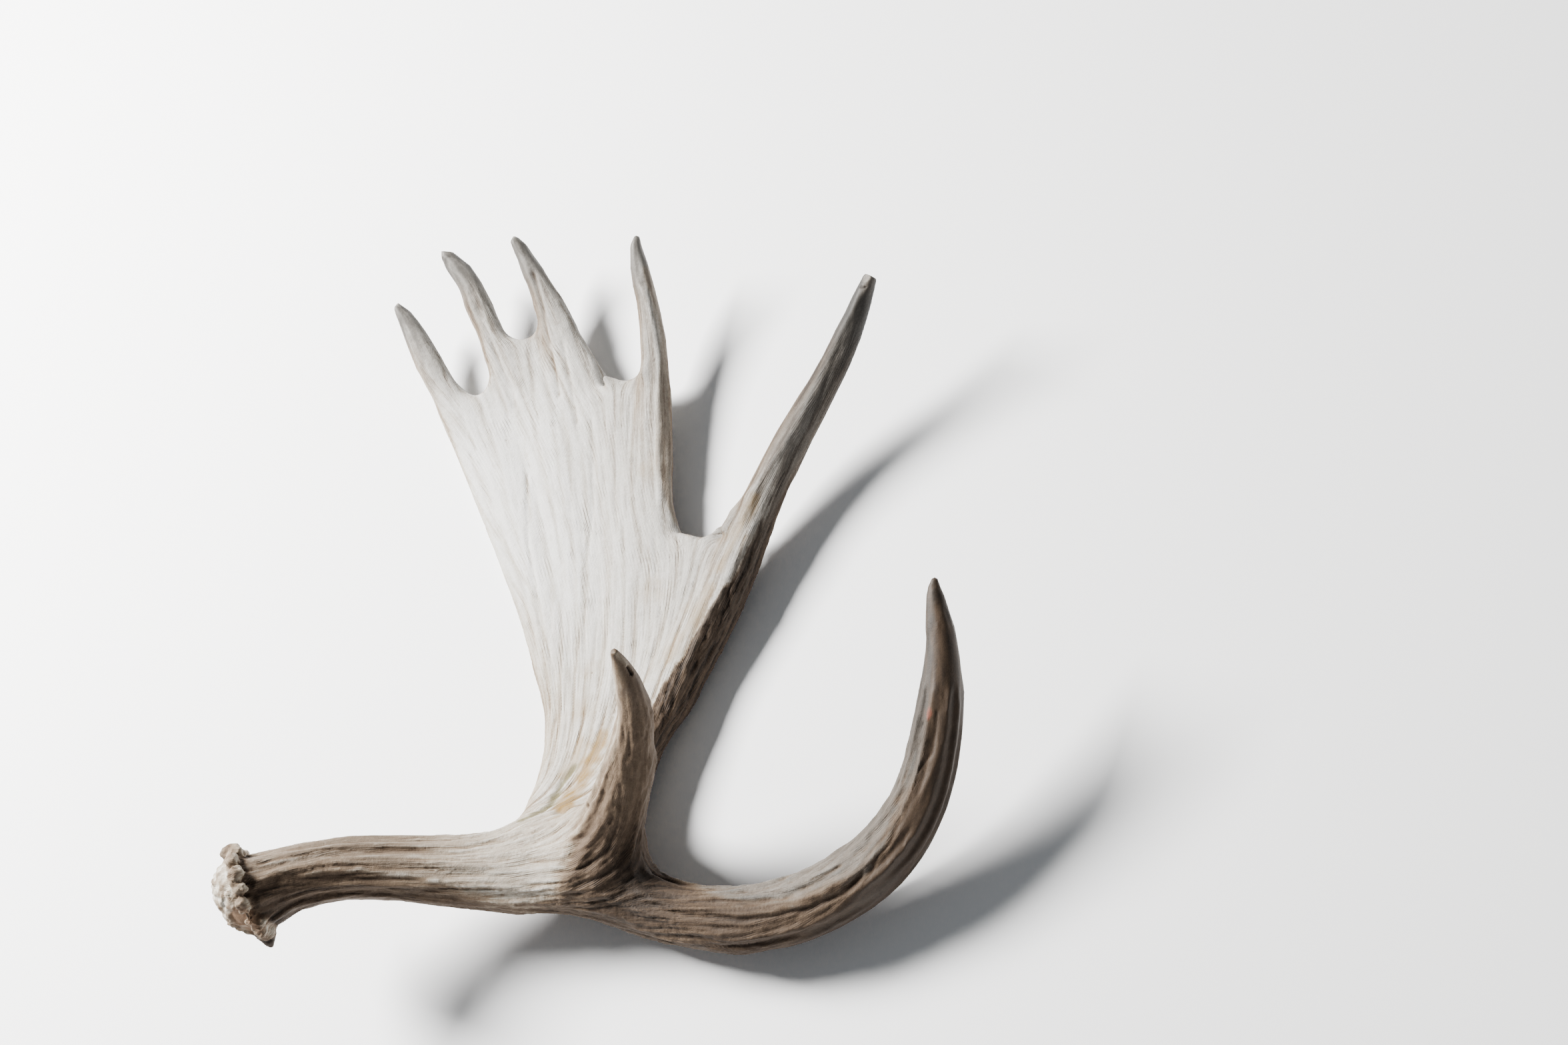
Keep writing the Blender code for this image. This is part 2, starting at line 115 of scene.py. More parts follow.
# Carved lines, by the places in the picture that they run through: path, half width and depth.
# A negative depth is a ridge.
LINES = {
    "brow_groove": dict(
        path=((1401, 1060), (1398, 1099), (1393, 1130), (1382, 1160), (1359, 1199), (1347, 1233),
              (1332, 1264), (1313, 1287), (1298, 1313)),
        width=1.7, depth=0.7),
    "brow_lip": dict(
        path=((1408, 1100), (1402, 1132), (1391, 1164), (1368, 1204), (1357, 1238), (1340, 1270),
              (1322, 1294)),
        width=3.0, depth=-0.6),
    "brow_lower_groove": dict(
        path=((1050, 1372), (1100, 1380), (1160, 1378), (1215, 1362), (1262, 1338), (1300, 1310)),
        width=1.8, depth=1.1),
    "brow_middle_groove": dict(
        path=((1060, 1345), (1110, 1352), (1170, 1345), (1215, 1325), (1262, 1292)),
        width=1.5, depth=0.9),
    "beam_brow": dict(
        path=((384, 1318), (420, 1308), (458, 1310), (500, 1300), (545, 1302), (600, 1310), (660, 1322)),
        width=2.4, depth=-1.1),
    "beam_top_groove": dict(
        path=((372, 1300), (410, 1284), (450, 1272), (500, 1268), (560, 1270), (640, 1274), (720, 1280)),
        width=2.0, depth=1.0),
    "second_tine_valley": dict(
        path=((698, 427), (718, 478), (739, 529), (759, 575), (770, 620)), width=3.5, depth=1.7),
    "third_tine_valley": dict(
        path=((795, 395), (808, 457), (815, 500), (826, 550), (834, 600)), width=3.0, depth=1.9),
    "third_tine_side_valley": dict(
        path=((836, 500), (850, 570), (862, 640)), width=3.0, depth=1.2),
    "fourth_tine_ridge": dict(
        path=((968, 420), (978, 460), (992, 534), (984, 595), (985, 687), (990, 760)),
        width=4.0, depth=-2.0),
    "edge_tine_ridge": dict(
        path=((1290, 430), (1239, 534), (1198, 621), (1137, 718), (1100, 790)), width=4.0, depth=-1.8),
    "left_vein": dict(
        path=((788, 700), (788, 737), (790, 813), (797, 863), (809, 939), (826, 1002), (830, 1086)),
        width=2.2, depth=0.8),
    "middle_vein": dict(
        path=((880, 620), (885, 682), (883, 770), (873, 846), (873, 939), (875, 1023)),
        width=2.2, depth=0.7),
    "right_vein": dict(path=((978, 796), (980, 880), (990, 926)), width=2.0, depth=0.6),
    "olive_groove": dict(
        path=((862, 1140), (839, 1170), (822, 1204), (788, 1222)), width=3.2, depth=1.4),
    "rim_crest": dict(
        path=((1140, 770), (1117, 813), (1079, 888), (1041, 964), (999, 1044), (978, 1072)),
        width=3.4, depth=-1.2),
}

WORN_TIPS = {  # how far down each tip is worn smooth
    "first": 60,
    "second": 60,
    "third": 60,
    "fourth": 60,
    "edge": 80,
    "front": 70,
    "brow": 150,
}
TINE_GREY = {  # how far down a palm tine is grey, and how grey its tip is
    "first": (170, 0.46),
    "second": (190, 0.52),
    "third": (210, 0.50),
    "fourth": (230, 0.46),
    "edge": (380, 0.86),
}
# Darker places. Some are painted shade, such as the fork's front below the front tine, which lies in that
# tine's shadow; others darken the bone itself, such as the dark tip of the spur low on the seat.
PAINTED_SHADE_AND_DARK_SPOTS = (  # darker places: where in the picture, radius in millimetres, and how much darker
    ((960, 1335), 34, 0.28), ((919, 978), 5, 0.2), ((1000, 1290), 20, 0.08), ((399, 1412), 15, 0.5),
    ((420, 1385), 30, 0.12), ((1090, 1372), 30, 0.10),
)

# Outlines in the picture of sides that are painted darker, partly for their own colour and partly as painted
# shade where they turn from the light: the brown side of the round branches, the rough side of the palm's
# rim, the fourth tine's tan side, and the long brow tine's worn outer side.
BROWN_AND_SHADED_SIDE = (
    (384, 1328), (410, 1320), (466, 1313), (512, 1306), (537, 1313), (588, 1325), (639, 1333), (690, 1348),
    (741, 1361), (792, 1366), (836, 1350), (855, 1294), (877, 1235), (895, 1190), (914, 1144), (930, 1108),
    (933, 1040), (928, 1000), (916, 968), (950, 975), (1010, 1080), (990, 1250), (985, 1290), (1010, 1318),
    (1060, 1346), (1120, 1362), (1190, 1356), (1250, 1332), (1298, 1313), (1332, 1270), (1359, 1205),
    (1384, 1165), (1395, 1130), (1400, 1080), (1403, 1000), (1405, 930), (1402, 850), (1480, 900),
    (1480, 1250), (1300, 1450), (1000, 1470), (700, 1420), (480, 1390), (390, 1400),
)
RIM_SIDE = ((1318, 380), (1287, 436), (1262, 492), (1241, 540), (1206, 612), (1180, 672), (1160, 740),
            (1137, 800), (1094, 872), (1047, 943), (1006, 1013), (974, 1066), (950, 1150), (950, 1250),
            (1180, 1050), (1260, 700), (1360, 400))
FOURTH_SIDE = ((962, 400), (978, 447), (990, 500), (992, 534), (984, 595), (985, 690), (990, 717),
               (999, 760), (1013, 788), (1035, 808), (1060, 790), (1040, 700), (1040, 500), (1000, 400))
BROW_OUTER = ((1402, 850), (1407, 959), (1407, 1040), (1396, 1107), (1393, 1145), (1374, 1192), (1350, 1254),
              (1312, 1316), (1269, 1364), (1221, 1397), (1180, 1440), (1300, 1480), (1500, 1250),
              (1500, 900), (1440, 830))

# The webs between the palm tines: the curve of each in the picture, and half its thickness in millimetres.
WEBS = (
    (((686, 567), (696, 578), (706, 587), (714, 590), (721, 588), (727, 580), (731, 568), (732, 556)), 4.0),
    (((741, 472), (757, 490), (766, 500), (776, 505), (788, 505), (797, 501), (803, 493), (806, 478)), 4.2),
    (((878, 505), (888, 521), (898, 537), (908, 550), (918, 559), (928, 565), (938, 568), (947, 566),
      (955, 560), (958, 548)), 4.4),
    (((1010, 720), (1012, 755), (1019, 779), (1032, 798), (1054, 804), (1070, 794), (1083, 778), (1098, 758),
      (1112, 742), (1122, 730)), 4.6),
)
WEB_REACH = 7.5  # how far a web's rounding reaches into the palm
WEB_INSET = 13  # the same in pixels
# Small lips at the webs' ends that are evened out: place and size in pixels.
LIPS = ((906, 566, 9), (1019, 797, 8), (1083, 780, 9))
TIP_STEPS = 7  # beads between two sections of a tip
THICKEST = 60  # that a tine is, along the camera's sight
BROAD_SECTION = 15  # pixels: the end of a row is evened out when its section is larger

# The tips are fuller than the CAD's. Each is a row of round sections: place and radius in pixels.
FULL_TIPS = (
    ((598, 464, 7.3), (607, 476, 11), (617, 492, 15), (629, 516, 18), (644.5, 548, 20.7),
     (662.5, 578.5, 24)),
    ((667, 381, 5.2), (671, 386, 9), (682, 395.5, 12), (695, 410, 15.5), (707.5, 430, 16.5),
     (717, 452, 18.3), (730, 478, 18.5), (741, 497, 18)),
    ((773, 363, 7.2), (781, 376, 10), (790, 391, 12), (802, 412, 15), (812, 434, 17)),
    ((955, 359, 5.5), (954, 369, 8.5), (956, 383, 11), (958.5, 400, 13.6), (964, 425, 15.7),
     (970, 449, 16.3), (976, 480, 17.8), (980, 515, 20.5), (982, 550, 23)),
    ((950.5, 372.5, 5.6), (952, 380, 7)),
    ((1304, 420, 11), (1299, 433, 13.2), (1292, 452, 15.9), (1283, 476, 18), (1271.5, 503, 20.8),
     (1253.5, 543, 22.5), (1232, 584, 24), (1209.5, 624, 26), (1188, 664, 27.2), (1167, 703, 29.4),
     (1145, 743, 30.5)),
    ((1402, 871.5, 5.6), (1401.5, 884, 10.3), (1403.5, 900, 15), (1406, 920, 18.4), (1409, 945, 22),
     (1412.5, 968, 24.7), (1413, 990, 27.5)),
    ((920.5, 977.5, 6), (926, 989, 9.8), (932, 1003, 14.3), (940.5, 1020, 19.5), (946.5, 1045, 23.3),
     (949.5, 1065, 25.2), (951, 1085, 27.8), (950, 1100, 30)),
    ((958, 1112, 24), (960, 1135, 26.3), (957, 1160, 26), (952, 1185, 26)),
)
# Some are broken or worn flat: a place that the flat goes through, the way it faces as the camera sees it
# (right, up and towards the camera), and its reach in millimetres.
BREAKS = {
    "edge_top": ((1307, 413.5), (0.45, 0.89, 0), 16),
    "edge_facet": ((1292, 432), (-0.45, 0.35, 0.82), 13),
    "second_top": ((670, 376.5), (0.08, 1, 0), 14),
    "fourth_shoulder": ((948.5, 361), (-0.97, 0.24, 0), 5),
    "brow_shoulder": ((1394, 876), (-0.87, 0.49, 0), 10),
}
# Where the CAD's outline is off, the skin is pulled to the antler's: place, shift and reach in pixels.
PULLS = (
    ((862, 1392), (0, -18), 110), ((1012, 1300), (-8, 14), 100), ((1095, 1322), (0, 6), 90),
    ((1100, 1428), (0, 4), 70), ((1345, 1245), (9, 8), 190), ((802, 1200), (-10, -8), 85),
    ((811, 1070), (7, 0), 80), ((686, 432), (5, 0), 38),
)
PALM_PULLS = (((1008, 1128), (-11, -7), 90),)  # the same, of the palm alone
HOLES = (  # a hole in the front tine and a crack at the edge tine's tip: path, half width and depth
    (((947, 999), (950, 1005), (953, 1012)), 1.2, 2.2),
    (((1285, 428), (1289, 430), (1293, 432)), 0.8, 1.0),
)

# Stains and marks, by where they show in the picture: place, radius in millimetres, and strength.
AMBER = (((1041, 918), 16, 0.35), ((1010, 970), 14, 0.35), ((975, 880), 14, 0.25), ((1100, 800), 14, 0.35),
         ((965, 700), 12, 0.25), ((880, 1000), 12, 0.3), ((868, 1060), 14, 0.3))
AMBER_BANDS = (  # path, half width in millimetres, strength
    (((898, 1105), (884, 1130), (872, 1155), (858, 1184), (842, 1208)), 10, 1.0),
    (((868, 1108), (858, 1135), (846, 1160)), 7, 0.6),
    (((1060, 880), (1030, 935), (1000, 985)), 5, 0.45),
    (((1128, 742), (1100, 800), (1075, 850)), 5, 0.45),
)
# A painted highlight: a pale strip along the facet by the front tine's tip.
FRONT_TIP_HIGHLIGHT = ((((929, 981), (936, 988), (943, 996), (950, 1008)), 2.2, 1.0),)
OLIVE_BANDS = ((((858, 1148), (839, 1172), (822, 1202), (800, 1216), (780, 1226)), 4.0, 0.85),)
PITS = (((876, 1207), 1.8, 1.2), ((885, 1005), 1.0, 0.6), ((755, 657), 1.0, 0.5))
CHIP = ((340, 1366), (354, 1359), (384, 1371), (394, 1392), (393, 1408), (366, 1399), (347, 1390))
CHIP_DEPTH = 2.6  # of the broken hollow low on the seat
BLUSH = ((1389, 1069), 4, 0.3)  # a thin red stain on the long brow tine


def laying():
    """The turn and move from the upright frame, in millimetres, to the row frame, in metres."""
    turn = Matrix.Rotation(LAY_LEAN, 4, "X") @ Matrix.Rotation(LAY_TURN, 4, "Z")
    return Matrix.Translation(LAY_PLACE) @ turn @ Matrix.Scale(MM, 4)


LAY = laying()


def unit(vectors):
    """The vectors, each at length 1."""
    return vectors / np.maximum(np.linalg.norm(vectors, axis=-1, keepdims=True), 1e-12)


def rise(low, high, values):
    """0 below low, 1 above high, and a smooth step between them. With low above high it falls instead."""
    t = np.clip((values - low) / (high - low), 0, 1)
    return t * t * (3 - 2 * t)


def picture_place(points):
    """Where upright points show in the picture, in pixels, and how far away they are."""
    offset = points - np.array(EYE)
    ahead = offset @ (0, math.cos(EYE_PITCH), math.sin(EYE_PITCH))
    above = offset @ (0, -math.sin(EYE_PITCH), math.cos(EYE_PITCH))
    across = PICTURE[0] / 2 + FOCUS * offset[:, 0] / ahead
    down = PICTURE[1] / 2 - FOCUS * above / ahead
    return np.stack([across, down], axis=1), ahead


def read_points(mesh):
    """The mesh's vertices as an array."""
    flat = np.empty(len(mesh.vertices) * 3)
    mesh.vertices.foreach_get("co", flat)
    return flat.reshape(-1, 3)


def apply_modifiers(thing):
    """Replaces the object's mesh by its evaluated one."""
    bpy.context.view_layer.update()
    graph = bpy.context.evaluated_depsgraph_get()
    mesh = bpy.data.meshes.new_from_object(thing.evaluated_get(graph), depsgraph=graph)
    thing.modifiers.clear()
    thing.data = mesh


def add_object(name, mesh):
    """A new object that shows the mesh."""
    thing = bpy.data.objects.new(name, mesh)
    bpy.context.scene.collection.objects.link(thing)
    return thing


class Skin:
    """A mesh's points in the upright frame, with the neighbours of each."""

    def __init__(self, mesh):
        self.mesh = mesh
        self.points = read_points(mesh)
        edges = np.empty(len(mesh.edges) * 2, dtype=np.int32)
        mesh.edges.foreach_get("vertices", edges)
        edges = edges.reshape(-1, 2)
        ends = np.concatenate([edges, edges[:, ::-1]])
        ends = ends[np.argsort(ends[:, 0], kind="stable")]
        counts = np.bincount(ends[:, 0], minlength=len(self.points))
        first = np.concatenate([[0], np.cumsum(counts)[:-1]])
        slot = np.arange(len(ends)) - first[ends[:, 0]]
        self.near = np.repeat(np.arange(len(self.points))[:, None], counts.max(), axis=1)
        self.near[ends[:, 0], slot] = ends[:, 1]
        self.counts = counts
        self.spare = counts.max() - counts
        self.measure()

    def measure(self):
        """Works out the normals again."""
        self.mesh.vertices.foreach_set("co", self.points.ravel())
        self.mesh.update()
        flat = np.empty(len(self.points) * 3)
        self.mesh.vertex_normals.foreach_get("vector", flat)
        self.normals = flat.reshape(-1, 3)

    def around(self, values):
        """The mean of each point's neighbours."""
        total = values[self.near[:, 0]].copy()
        for column in self.near.T[1:]:
            total += values[column]
        if values.ndim == 1:
            return (total - self.spare * values) / self.counts
        return (total - self.spare[:, None] * values) / self.counts[:, None]

    def smooth(self, values, rounds):
        """The values, evened out over the skin."""
        for _ in range(rounds):
            values = (values + self.around(values)) / 2
        return values

    def relax(self, rounds):
        """Evens the skin out without shrinking it."""
        for _ in range(rounds):
            for share in (0.5, -0.53):
                self.points = self.points + share * (self.around(self.points) - self.points)
        self.measure()

    def soften(self, rounds, where):
        """Rounds the skin off where that is above 0."""
        for _ in range(rounds):
            self.points = self.points + 0.5 * where[:, None] * (self.around(self.points) - self.points)
        self.measure()

    def raise_by(self, height):
        """Moves each point out along its normal."""
        self.points = self.points + height[:, None] * self.normals
        self.measure()


def sight(place):
    """The direction from the camera to a place in the picture."""
    across = (place[0] - PICTURE[0] / 2) / FOCUS
    above = (PICTURE[1] / 2 - place[1]) / FOCUS
    return (Matrix.Rotation(EYE_PITCH, 3, "X") @ Vector((across, 1, above))).normalized()


def round_webs(bm):
    """Rounds the webs between the palm tines with flat beads, by their curves in the picture."""
    solid = BVHTree.FromBMesh(bm)
    eye = Vector(EYE)
    flat = PALM_FACING.to_track_quat("Z", "Y").to_matrix().to_4x4()
    for curve, half in WEBS:
        places = []
        for start, end in zip(curve, curve[1:]):
            start, end = Vector(start), Vector(end)
            inset = WEB_INSET * Vector((start.y - end.y, end.x - start.x)).normalized()
            places += [(start.lerp(end, share), inset) for share in (0, 0.33, 0.67, 1)]
        middles = {}
        for i, (place, inset) in enumerate(places):
            ray = sight(place + inset)
            near = solid.ray_cast(eye, ray)[0]
            far = near and solid.ray_cast(near + 0.01 * ray, ray)[0]
            if far and (far - near).length < 4 * half:
                middles[i] = ((near + far) / 2, min(half, 0.45 * (far - near).length))
        for i, (place, inset) in enumerate(places):
            middle, thick = middles[min(middles, key=lambda j: abs(j - i))]
            ray = sight(place + inset)
            point = eye + ray * ((middle - eye).dot(PALM_FACING) / ray.dot(PALM_FACING))
            matrix = Matrix.Translation(point) @ flat @ Matrix.Diagonal((WEB_REACH, WEB_REACH, thick, 1))
            bmesh.ops.create_icosphere(bm, subdivisions=3, radius=1, matrix=matrix)


def fill_tips(bm):
    """Fills the tips out with beads, by their places in the picture."""
    solid = BVHTree.FromBMesh(bm)
    eye = Vector(EYE)
    for sections in FULL_TIPS:
        beads = []
        for start, end in zip(sections, sections[1:]):
            beads += [Vector(start).lerp(Vector(end), step / TIP_STEPS) for step in range(TIP_STEPS)]
        for i, (across, down, size) in reversed(list(enumerate(beads))):
            ray = sight((across, down))
            near = solid.ray_cast(eye, ray)[0]
            far = near and solid.ray_cast(near + 0.01 * ray, ray)[0]
            if far and (far - near).length < THICKEST:
                depth, half = ((near + far) / 2 - eye).length, (far - near).length / 2
            radius = size * depth / FOCUS
            fade = 0.8 + 0.2 * min(1, (len(beads) - i) / (2 * TIP_STEPS))
            thick = min(radius, half * fade + 1.5 * max(0, 1 - i / (3 * TIP_STEPS)))
            middle = eye + depth * ray
            turn = ray.to_track_quat("Z", "Y").to_matrix().to_4x4()
            matrix = Matrix.Translation(middle) @ turn @ Matrix.Diagonal((radius, radius, thick, 1))
            bmesh.ops.create_icosphere(bm, subdivisions=2, radius=1, matrix=matrix)


def pull(skin, place, shift, reach, where=1):
    """Shifts the skin around a place in the picture."""
    gap = np.linalg.norm(skin.shown[0] - np.array(place), axis=1)
    share = where * rise(reach, 0, gap) * skin.shown[1] / FOCUS
    way = np.array((shift[0], shift[1] * math.sin(EYE_PITCH), -shift[1] * math.cos(EYE_PITCH)))
    skin.points = skin.points + share[:, None] * way


def break_off(skin, place, facing, reach):
    """Cuts the skin flat around a place in the picture. Returns how much it took away at each point."""
    eye = np.array(EYE)
    start = eye + np.array(sight(place)) * np.linalg.norm(spot(skin, place) - eye)
    right, up, towards = facing
    facing = np.array(Matrix.Rotation(EYE_PITCH, 3, "X") @ Vector((right, -towards, up)).normalized())
    offset = skin.points - start
    taken = np.maximum(offset @ facing, 0) * (np.linalg.norm(offset, axis=1) < reach)
    skin.points = skin.points - taken[:, None] * facing
    return taken


def voxel_skin(pieces, voxel):
    """One closed skin over the CAD pieces, in the upright frame."""
    bm = bmesh.new()
    for piece in pieces:
        bm.from_mesh(piece.data)
    bmesh.ops.transform(bm, matrix=LAY.inverted(), verts=bm.verts)
    bmesh.ops.remove_doubles(bm, verts=bm.verts, dist=0.001)
    fill_tips(bm)
    round_webs(bm)
    bm.normal_update()
    for vert in bm.verts:
        vert.co += SWELL * vert.normal
    mesh = bpy.data.meshes.new("skin")
    bm.to_mesh(mesh)
    bm.free()
    thing = add_object("skin", mesh)
    remesh = thing.modifiers.new("remesh", "REMESH")
    remesh.mode = "VOXEL"
    remesh.voxel_size = voxel
    apply_modifiers(thing)
    mesh = thing.data
    bpy.data.objects.remove(thing)
    return Skin(mesh)


def spot(skin, place, reach=6):
    """The point of the skin that shows at that place in the picture."""
    shown, ahead = skin.shown
    gap = np.linalg.norm(shown - np.array(place), axis=1)
    close = np.flatnonzero(gap < max(reach, gap.min() + 1))
    return skin.points[close[np.argmin(ahead[close])]]


def growth(skin, tips):
    """The way of growth at each point: down the slope of a field that is 0 at the burr and 1 at the tips."""
    points = skin.points
    axis = np.array(BURR_AXIS)
    root = (points - np.array(BURR)) @ axis < 4
    fixed = root & (points[:, 0] < -380)
    value = np.zeros(len(points))
    for tip in tips:
        at_tip = np.linalg.norm(points - tip, axis=1) < 9
        fixed |= at_tip
        value[at_tip] = 1
    free = ~fixed

    def stiff(field):
        return np.where(free, skin.counts * (field - skin.around(field)), 0)

    left = -stiff(value)
    way = left.copy()
    size = left @ left
    for _ in range(900):
        bent = stiff(way)
        step = size / (way @ bent)
        value += step * way
        left -= step * bent
        previous, size = size, left @ left
        if size < 1e-10:
            break
        way = left + size / previous * way
    return value


def slope(skin, field):
    """The field's slope over the skin, by the neighbours of each point."""
    matrix = np.zeros((len(field), 3, 3))
    right = np.zeros((len(field), 3))
    for column in skin.near.T:
        offset = skin.points[column] - skin.points
        matrix += offset[:, :, None] * offset[:, None, :]
        right += offset * (field[column] - field)[:, None]
    size = np.trace(matrix, axis1=1, axis2=2)
    normal = skin.normals
    matrix += size[:, None, None] * normal[:, :, None] * normal[:, None, :]
    return np.linalg.solve(matrix, right[:, :, None])[:, :, 0]


def carry_over(coarse, fine, values):
    """Values of the coarse skin on the fine one."""
    tree = kdtree.KDTree(len(coarse.points))
    for i, point in enumerate(coarse.points):
        tree.insert(point, i)
    tree.balance()
    nearest = np.array([tree.find(point)[1] for point in fine.points])
    return fine.smooth(values[nearest], 20)


def walk(skin, way, steps, visit):
    """Walks from every point along the way, both ahead and back, and visits each step's nearest point."""
    points, normals = skin.points, skin.normals
    near = np.concatenate([np.arange(len(points))[:, None], skin.near], axis=1)
    every = np.arange(len(points))
    for sign in (1, -1):
        at = every
        place = points.copy()
        for step in range(1, steps + 1):
            place += sign * STRIDE * way[at]
            options = near[at]
            gap = points[options] - place[:, None]
            at = options[every, (gap**2).sum(axis=2).argmin(axis=1)]
            place -= ((place - points[at]) * normals[at]).sum(axis=1, keepdims=True) * normals[at]
            visit(step, at)


def grain(skin, way, rng, scales):
    """Noise drawn out along the growth lines, a field for each scale: rounds to smooth, steps to reach."""
    noises = [skin.smooth(rng.standard_normal(len(skin.points)), rounds) for rounds, _ in scales]
    fields = [noise.copy() for noise in noises]

    def visit(step, at):
        for field, noise, (_, reach) in zip(fields, noises, scales):
            if step < reach:
                field += noise[at] * (1 - step / reach)

    walk(skin, way, max(reach for _, reach in scales), visit)
    for i, field in enumerate(fields):
        level = skin.smooth(field, 80)
        field = field - level
        spread = np.sqrt(skin.smooth(field**2, 80))
        fields[i] = field / np.maximum(spread, 1e-9)
    return fields


def distance_to_path(points, path):
    """Distance of each point from the line through the path's places."""
    nearest = np.full(len(points), np.inf)
    for start, end in zip(path, path[1:]):
        along = end - start
        t = np.clip((points - start) @ along / max(along @ along, 1e-9), 0, 1)
        nearest = np.minimum(nearest, np.linalg.norm(points - start - t[:, None] * along, axis=1))
    return nearest


def carve(skin, line, wander):
    """Height of a carved line: a soft channel along its path, which wanders a little."""
    path = [spot(skin, place) for place in line["path"]]
    gap = distance_to_path(skin.points, path)
    ends = np.minimum(
        np.linalg.norm(skin.points - path[0], axis=1), np.linalg.norm(skin.points - path[-1], axis=1)
    )
    width = line["width"]
    channel = np.exp(-(((gap + 0.8 * wander) / width) ** 2)) * rise(0, 3 * width, ends)
    return -line["depth"] * channel * (1 + 0.25 * wander)


def stain(skin, marks, wander):
    """How much of a stain is at each point, with ragged edges."""
    amount = np.zeros(len(skin.points))
    for place, radius, strength in marks:
        gap = np.linalg.norm(skin.points - spot(skin, place), axis=1) / radius
        amount = np.maximum(amount, strength * rise(1.3, 0.2, gap + 0.3 * wander))
    return amount


def band(skin, marks, wander):
    """How much of a stain is at each point, where it runs along paths, with ragged edges."""
    amount = np.zeros(len(skin.points))
    for path, width, strength in marks:
        gap = distance_to_path(skin.points, [spot(skin, place) for place in path])
        amount = np.maximum(amount, strength * rise(1.5, 0.3, gap / width + 0.3 * wander))
    return amount


def within(places, outline, soft):
    """1 inside the outline in the picture, 0 outside, with a soft edge that many pixels wide."""
    inside = np.zeros(len(places), dtype=bool)
    edge = np.full(len(places), np.inf)
    for start, end in zip(outline, outline[1:] + outline[:1]):
        start, end = np.array(start, dtype=float), np.array(end, dtype=float)
        crosses = (places[:, 1] < start[1]) != (places[:, 1] < end[1])
        if start[1] != end[1]:
            turn = start[0] + (places[:, 1] - start[1]) * (end[0] - start[0]) / (end[1] - start[1])
            inside ^= crosses & (places[:, 0] < turn)
        along = end - start
        t = np.clip((places - start) @ along / (along @ along), 0, 1)
        edge = np.minimum(edge, np.linalg.norm(places - start - t[:, None] * along, axis=1))
    return rise(-soft / 2, soft / 2, np.where(inside, edge, -edge))


def pearl_field(skin):
    """How near each point is to a pearl of the burr: 1 at the middle of a pearl, 0 at its edge."""
    rng = np.random.default_rng(PEARL_SEED)
    axis = unit(np.array(BURR_AXIS))
    across = unit(np.cross(axis, (0, 1, 0)))
    around = np.cross(axis, across)
    closeness = np.full(len(skin.points), -9.0)
    for i in range(PEARLS):
        turn = 2 * math.pi * (i + rng.uniform(-0.25, 0.25)) / PEARLS
        radius = rng.uniform(*PEARL_RADII)
        reach = RING_RADIUS + rng.uniform(-1, 2)
        shift = rng.uniform(-2, 2)
        place = BURR + reach * (math.cos(turn) * across + math.sin(turn) * around) + (shift + 2) * axis
        offset = skin.points - place
        along = offset @ axis
        flat = (offset**2).sum(axis=1) - along**2 + (along / 1.9) ** 2
        closeness = np.maximum(closeness, 1 - flat / (1.1 * radius) ** 2)
    return closeness


def keep_inside(skin, box):
    """Moves the points that are outside the CAD's box onto its sides."""
    low, high = (np.array(corner) for corner in box)
    turn = np.array(LAY)
    laid = skin.points @ turn[:3, :3].T + turn[:3, 3]
    back = np.linalg.inv(turn)
    skin.points = np.clip(laid, low + INSIDE, high - INSIDE) @ back[:3, :3].T + back[:3, 3]
    skin.measure()


def split(skin, values):
    """Parts the skin at the forks into one closed mesh for each CAD piece."""
    mesh = skin.mesh
    for name, value in values.items():
        if value.ndim == 1:
            mesh.attributes.new(name, "FLOAT", "POINT").data.foreach_set("value", value.astype(np.float32))
        else:
            flat = value.astype(np.float32).ravel()
            mesh.attributes.new(name, "FLOAT_VECTOR", "POINT").data.foreach_set("vector", flat)
    bm = bmesh.new()
    bm.from_mesh(mesh)
    piece_of = {}
    for name, fork in FORKS.items():
        point, normal = Vector(fork["point"]), Vector(fork["normal"]).normalized()
        low, high = fork["low"], fork["high"]

        def inside(face):
            middle = face.calc_center_median()
            return all(l < m < h for l, m, h in zip(low, middle, high))

        near = []
        for face in bm.faces:
            if face in piece_of or not inside(face):
                continue
            if abs(normal.dot(face.calc_center_median() - point)) < 3 * VOXEL:
                near.append(face)
        geom = list({v for f in near for v in f.verts}) + list({e for f in near for e in f.edges}) + near
        bmesh.ops.bisect_plane(bm, geom=geom, dist=1e-5, plane_co=point, plane_no=normal)
        for face in bm.faces:
            if face not in piece_of and inside(face) and normal.dot(face.calc_center_median() - point) > 0:
                piece_of[face] = name
    pieces = {}
    for name in SLOTS:
        part = bm.copy()
        part.faces.ensure_lookup_table()
        keep = [piece_of.get(face, "beam") == name for face in bm.faces]
        extra = [face for face, kept in zip(part.faces, keep) if not kept]
        bmesh.ops.delete(part, geom=extra, context="FACES")
        rim = [edge for edge in part.edges if edge.is_boundary]
        bmesh.ops.holes_fill(part, edges=rim, sides=0)
        bmesh.ops.triangulate(part, faces=[face for face in part.faces if len(face.verts) > 4])
        bmesh.ops.transform(part, matrix=LAY, verts=part.verts)
        pieces[name] = bpy.data.meshes.new(name)
        part.to_mesh(pieces[name])
        part.free()
    bm.free()
    return pieces


def dress(mesh, material):
    """Smooth shading over the split, and the finish."""
    rounding = np.empty(len(mesh.vertices) * 3, dtype=np.float32)
    mesh.attributes["rounding"].data.foreach_get("vector", rounding)
    rounding = unit(rounding.reshape(-1, 3))
    mesh.shade_smooth()
    mesh.normals_split_custom_set_from_vertices(rounding)
    mesh.attributes.remove(mesh.attributes["rounding"])
    mesh.materials.clear()
    mesh.materials.append(material)


